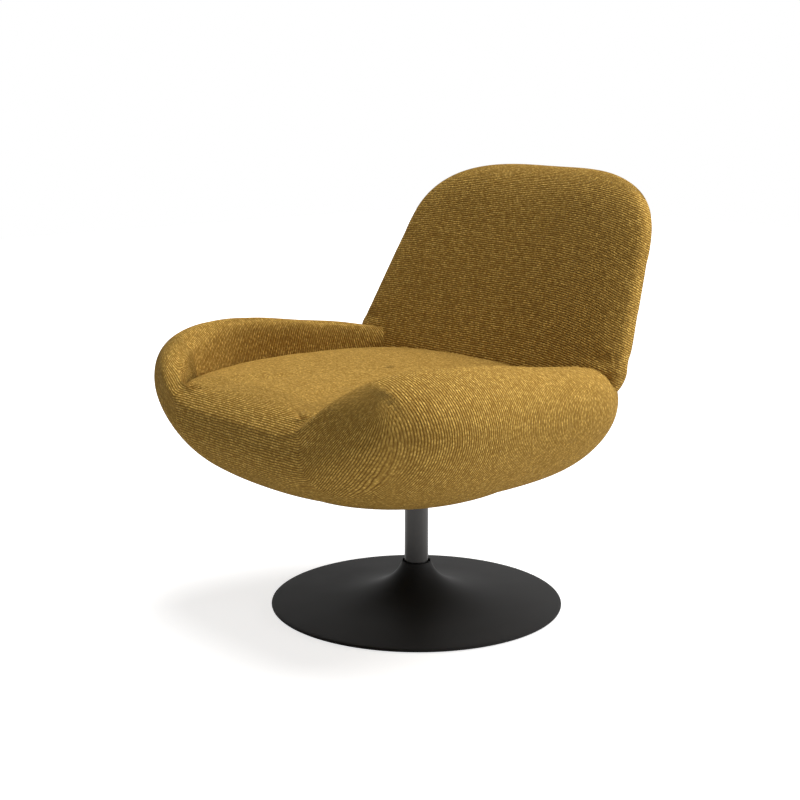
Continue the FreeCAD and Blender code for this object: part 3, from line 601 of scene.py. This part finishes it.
powder = bpy.data.node_groups.new("powder_coat", "ShaderNodeTree")
powder.interface.new_socket("Place", in_out="INPUT", socket_type="NodeSocketVector")
grain_socket = powder.interface.new_socket("Grain", in_out="INPUT", socket_type="NodeSocketFloat")
grain_socket.default_value = COAT_GRAIN
for name in ("Peel", "Wear"):
    powder.interface.new_socket(name, in_out="OUTPUT", socket_type="NodeSocketFloat")
given = powder.nodes.new("NodeGroupInput")
result = powder.nodes.new("NodeGroupOutput")
peel = noise(powder, given.outputs["Place"], given.outputs["Grain"], 2.0)
dull = noise(powder, given.outputs["Place"], 14.0, 4.0)
powder.links.new(peel, result.inputs["Peel"])
powder.links.new(dull, result.inputs["Wear"])


def coated(name, dark, light, roughness, metallic=0.0, grain=COAT_GRAIN, depth=COAT_GRAIN_DEPTH):
    """A coat or skin whose colour and roughness drift slowly over it, with a fine grain."""
    made, tree, shader = new_material(name)
    inputs = {"Place": place_on(tree), "Grain": grain}
    coat = node(tree, "ShaderNodeGroup", inputs, node_tree=powder)
    colour = mix_colour(tree, coat.outputs["Wear"], (*dark, 1), (*light, 1))
    tree.links.new(colour, shader.inputs["Base Color"])
    rough = map_range(tree, coat.outputs["Wear"], (0, 1), roughness)
    tree.links.new(rough, shader.inputs["Roughness"])
    shader.inputs["Metallic"].default_value = metallic
    bump_inputs = {"Height": coat.outputs["Peel"], "Strength": 0.5, "Distance": depth}
    raised = node(tree, "ShaderNodeBump", bump_inputs)
    tree.links.new(raised.outputs[0], shader.inputs["Normal"])
    return made


base_black = coated("base_black", (0.016, 0.0155, 0.0152), (0.022, 0.0215, 0.021), (0.5, 0.6))
base_black.node_tree.nodes["Principled BSDF"].inputs["Specular IOR Level"].default_value = 0.06
skirt_profile = np.concatenate([eased(FLARE, FLARE_PARTS), np.array(FLARE_INSIDE)])
base_skirt = turned("base_skirt_spun", skirt_profile, SKIRT_COLUMNS, base_black)
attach(base_skirt, "base")
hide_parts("base_skirt")


# Column: a steel tube, 42.4 mm across, blackened and satin polished, with its top edge eased.
# It is welded to its foot flange, which is bolted to the base plate.
COLUMN_BORE = 18.2
COLUMN_RADIUS = 21.2
COLUMN_FOOT = 4.5
COLUMN_TOP = 194.0
COLUMN_COLUMNS = 96

column_profile = [(COLUMN_BORE, COLUMN_FOOT)]
column_profile += [(COLUMN_RADIUS, height) for height in (COLUMN_FOOT, 60, 120, 180, 193.2)]
column_profile += [(20.9, 193.9), (18.6, COLUMN_TOP), (COLUMN_BORE, 193.6), (COLUMN_BORE, COLUMN_FOOT)]
column_satin = coated(
    "column_satin", (0.035, 0.034, 0.033), (0.055, 0.053, 0.051), (0.3, 0.4), 0.85, 500.0, 0.00002
)
column = turned("column_polished", column_profile, COLUMN_COLUMNS, column_satin)
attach(column, "base")
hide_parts("column_tube")


# Inner and half hidden parts: frame steel in black coat, zinc plated screws and springs, nylon
# bushes, the plywood board, and the felt, webbing, lining and foam. Each keeps its own shape,
# as the shop leaves it, and gets its finish here by the name of its material slot.
finishes = {
    "mustard_weave": mustard_cloth,
    "base_black": base_black,
    "column_steel": column_satin,
    "black_steel": coated("frame_black", (0.012, 0.012, 0.013), (0.025, 0.025, 0.026), (0.42, 0.6)),
    "black_plastic": coated("ring_black", (0.01, 0.01, 0.01), (0.016, 0.016, 0.016), (0.5, 0.65)),
    "bush_plastic": coated("bush_nylon", (0.62, 0.6, 0.55), (0.74, 0.72, 0.66), (0.35, 0.5)),
    "zinc_steel": coated(
        "zinc_plate", (0.5, 0.51, 0.53), (0.66, 0.66, 0.64), (0.25, 0.45), 1.0, 300.0, 0.00002
    ),
    "felt": coated(
        "felt_sheet", (0.02, 0.02, 0.02), (0.05, 0.05, 0.05), (0.9, 1.0), 0.0, 1500.0, 0.0003
    ),
    "plywood": coated(
        "birch_ply", (0.5, 0.35, 0.18), (0.66, 0.5, 0.3), (0.5, 0.65), 0.0, 200.0, 0.0001
    ),
    "dust_cloth": coated(
        "lining_cloth", (0.012, 0.012, 0.012), (0.03, 0.03, 0.03), (0.9, 1.0), 0.0, 1200.0, 0.0002
    ),
    "webbing": coated(
        "webbing", (0.05, 0.05, 0.05), (0.12, 0.12, 0.12), (0.8, 0.95), 0.0, 700.0, 0.0003
    ),
    "foam": coated("foam", (0.7, 0.62, 0.4), (0.85, 0.8, 0.6), (0.9, 1.0), 0.0, 600.0, 0.0004),
}
for part in frame["record"]["subparts"]:
    piece = frame["nodes"][part["node"]]
    piece.data.materials.clear()
    piece.data.materials.append(finishes[part["material_slot"]])


# Studio: a floor that keeps a soft shadow round the base and turns plain white further out,
# a white surround, and two broad distant lamps.
FLOOR_HALF_WIDTH = 6.0
FLOOR_HEIGHT = -0.0004
FLOOR_COLOUR = (0.62, 0.62, 0.62, 1)
FLOOR_GLOW_REACH = (0.45, 1.2)
FLOOR_GLOW = (0.76, 1.0)
SURROUND_STRENGTH = (0.1, 1.0)


def seen_share(tree):
    """1 where the camera sees it, directly, mirrored or through glass, 0 where it gives light."""
    seen = tree.nodes.new("ShaderNodeLightPath")
    bent = math_node(tree, "MAXIMUM", seen.outputs["Is Glossy Ray"], seen.outputs["Is Transmission Ray"])
    return math_node(tree, "MAXIMUM", seen.outputs["Is Camera Ray"], bent)


floor_corners = [
    (x * FLOOR_HALF_WIDTH, y * FLOOR_HALF_WIDTH, FLOOR_HEIGHT)
    for x, y in ((-1, -1), (1, -1), (1, 1), (-1, 1))
]
floor_mesh = bpy.data.meshes.new("studio_floor")
floor_mesh.from_pydata(floor_corners, [], [(0, 1, 2, 3)])
floor = bpy.data.objects.new("studio_floor", floor_mesh)
bpy.context.scene.collection.objects.link(floor)
floor_white, tree, shader = new_material("floor_white")
shader.inputs["Base Color"].default_value = FLOOR_COLOUR
shader.inputs["Roughness"].default_value = 0.9
shader.inputs["Specular IOR Level"].default_value = 0.0
from_middle = node(tree, "ShaderNodeVectorMath", {0: place_on(tree)}, operation="LENGTH")
further_out = map_range(tree, from_middle.outputs["Value"], FLOOR_GLOW_REACH, FLOOR_GLOW)
strength = math_node(tree, "MULTIPLY", seen_share(tree), further_out)
glow = node(tree, "ShaderNodeEmission", {"Strength": strength})
both = node(tree, "ShaderNodeAddShader", {0: shader.outputs[0], 1: glow.outputs[0]})
tree.links.new(both.outputs[0], tree.nodes["Material Output"].inputs["Surface"])
floor_mesh.materials.append(floor_white)

world = bpy.data.worlds.new("studio")
bpy.context.scene.world = world
world.use_nodes = True
tree = world.node_tree
tree.nodes.clear()
strength = map_range(tree, seen_share(tree), (0, 1), SURROUND_STRENGTH)
background = node(tree, "ShaderNodeBackground", {"Color": (1, 1, 1, 1), "Strength": strength})
tree.links.new(background.outputs[0], tree.nodes.new("ShaderNodeOutputWorld").inputs["Surface"])


def lamp(name, strength, toward, angle):
    """A distant lamp that shines from the direction toward, this many radians wide."""
    light = bpy.data.lights.new(name, "SUN")
    light.energy = strength
    light.angle = angle
    made = bpy.data.objects.new(name, light)
    made.rotation_euler = Vector(toward).to_track_quat("Z", "Y").to_euler()
    bpy.context.scene.collection.objects.link(made)


lamp("side", 2.2, (0.74, 0.67, 0.05), 0.5)
lamp("top", 3.7, (0.14, 0.3, 0.94), 0.9)

# Camera at the photograph's angle
view = bpy.data.cameras.new("view")
view.lens = 71.1
view.sensor_width = 36.0
camera = bpy.data.objects.new("view", view)
right = Vector((0.6455, 0.7638, 0.0))
up = Vector((-0.1588, 0.1342, 0.9781))
back = Vector((0.7471, -0.6314, 0.2079))
standpoint = Matrix.Translation((2.0525, -1.7731, 0.947))
camera.matrix_world = standpoint @ Matrix((right, up, back)).transposed().to_4x4()
bpy.context.scene.collection.objects.link(camera)
bpy.context.scene.camera = camera
bpy.context.scene.view_settings.view_transform = "Standard"
